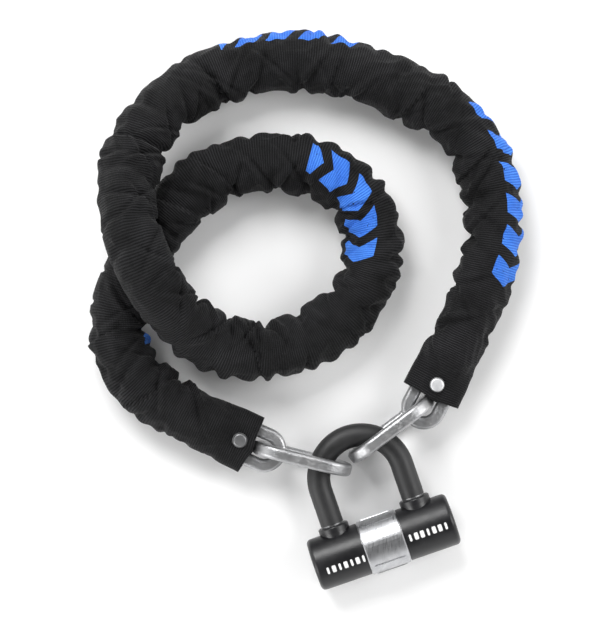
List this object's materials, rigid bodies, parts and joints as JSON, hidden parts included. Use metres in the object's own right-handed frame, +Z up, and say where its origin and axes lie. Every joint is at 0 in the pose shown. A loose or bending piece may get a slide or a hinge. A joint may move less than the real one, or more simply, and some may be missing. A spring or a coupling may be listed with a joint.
{
  "type": "chain lock",
  "caption": "Coiled square-link security chain in a black fabric sleeve, its two ends held by a small U-shackle lock with a round crossbar and turning keyway band",
  "frame": {"origin": "middle of the bounding box in plan, on the floor on which the coiled chain lies", "axes": "+Z up from the floor; +Y from the shackle lock towards the far side of the coil, the longest way; +X to the right seen from above with the lock nearest the viewer"},
  "size_m": [0.2894, 0.371, 0.0816],
  "materials": {
    "sleeve_fabric": "woven nylon, black, with blue printed blocks",
    "chain_steel": "zinc plated, dull",
    "rivet_metal": "plated, bright",
    "rivet_dark": "oxidised",
    "lock_steel": "machined",
    "band_steel": "satin, brushed round",
    "black_plastic": "satin black, moulded",
    "black_vinyl": "dipped vinyl, slightly rough",
    "seal_rubber": "black rubber",
    "brass": "machined"
  },
  "bodies": {
    "chain": {"link_01": "chain_steel", "link_02": "chain_steel", "link_03": "chain_steel", "link_04": "chain_steel", "link_12": "chain_steel", "link_13": "chain_steel", "link_14": "chain_steel", "link_15": "chain_steel", "link_16": "chain_steel", "link_17": "chain_steel", "link_25": "chain_steel", "link_26": "chain_steel", "link_27": "chain_steel", "link_28": "chain_steel", "link_29": "chain_steel", "link_30": "chain_steel", "link_31": "chain_steel", "rivet_left": "rivet_dark", "rivet_right": "rivet_metal", "rivet_washers": "rivet_metal", "sleeve_crossing": "sleeve_fabric", "sleeve_left_end": "sleeve_fabric", "sleeve_right_end": "sleeve_fabric", "sleeve_tips": "sleeve_fabric"},
    "outer_loop": {"link_05": "chain_steel", "link_06": "chain_steel", "link_07": "chain_steel", "link_08": "chain_steel", "link_09": "chain_steel", "link_10": "chain_steel", "link_11": "chain_steel", "sleeve_outer_loop": "sleeve_fabric"},
    "inner_loop": {"link_18": "chain_steel", "link_19": "chain_steel", "link_20": "chain_steel", "link_21": "chain_steel", "link_22": "chain_steel", "link_23": "chain_steel", "link_24": "chain_steel", "sleeve_inner_loop": "sleeve_fabric"},
    "shackle": {"shackle": "lock_steel", "shackle_coating": "black_vinyl"},
    "left_end_link": {"end_link_left": "chain_steel"},
    "right_end_link": {"end_link_right": "chain_steel"},
    "crossbar": {"lock_body": "lock_steel", "cover_left": "black_plastic", "cover_right": "black_plastic", "leg_necks": "lock_steel", "leg_collars": "black_plastic", "leg_seals": "seal_rubber", "cylinder_housing": "brass", "retaining_pin": "lock_steel"},
    "keyway_band": {"keyway_band": "band_steel"},
    "cylinder_plug": {"cylinder_plug": "brass", "tumbler_discs": "brass", "sidebar": "brass", "drill_shield": "lock_steel", "bolt_cam": "lock_steel"},
    "bolt_left": {"bolt_left": "lock_steel"},
    "bolt_right": {"bolt_right": "lock_steel"}
  },
  "joints": [
    {"name": "outer_loop_lift", "type": "hinge", "parent": "chain", "child": "outer_loop", "pos_m": [-0.09117, 0.13967, 0.02497], "axis": [0.9448, -0.3261, -0.0301], "range_deg": [0, 15]},
    {"name": "inner_loop_lift", "type": "hinge", "parent": "chain", "child": "inner_loop", "pos_m": [-0.05756, 0.09559, 0.018], "axis": [0.1603, -0.9854, 0.0568], "range_deg": [0, 15]},
    {"name": "lock_swing", "type": "hinge", "parent": "chain", "child": "shackle", "pos_m": [0.07326, -0.07341, 0.018], "axis": [-0.969, -0.247, 0], "range_deg": [0, 12]},
    {"name": "left_end_link_swing", "type": "hinge", "parent": "shackle", "child": "left_end_link", "pos_m": [-0.03115, -0.09108, 0.018], "axis": [0, 0, 1], "range_deg": [-8, 0]},
    {"name": "right_end_link_swing", "type": "hinge", "parent": "shackle", "child": "right_end_link", "pos_m": [0.07996, -0.06101, 0.018], "axis": [0, 0, 1], "range_deg": [0, 10]},
    {"name": "crossbar_pull_off", "type": "slide", "parent": "shackle", "child": "crossbar", "axis": [0.3264, -0.9452, 0], "range_m": [0, 0.055]},
    {"name": "keyway_band_turn", "type": "hinge", "parent": "crossbar", "child": "keyway_band", "pos_m": [0.05161, -0.15381, 0.0189], "axis": [0.9452, 0.3264, 0], "range_deg": [0, 50]},
    {"name": "key_turn", "type": "hinge", "parent": "crossbar", "child": "cylinder_plug", "pos_m": [0.05161, -0.15381, 0.0189], "axis": [-0.3264, 0.9452, 0], "range_deg": [0, 90]},
    {"name": "bolt_left_throw", "type": "slide", "parent": "crossbar", "child": "bolt_left", "axis": [-0.9452, -0.3264, 0], "range_m": [0, 0.00567]},
    {"name": "bolt_right_throw", "type": "slide", "parent": "crossbar", "child": "bolt_right", "axis": [0.9452, 0.3264, 0], "range_m": [0, 0.00567]}
  ],
  "couplings": [
    {"joint": "bolt_left_throw", "follows": "key_turn", "m_per_rad": 0.0036033},
    {"joint": "bolt_right_throw", "follows": "key_turn", "m_per_rad": 0.0036033}
  ]
}
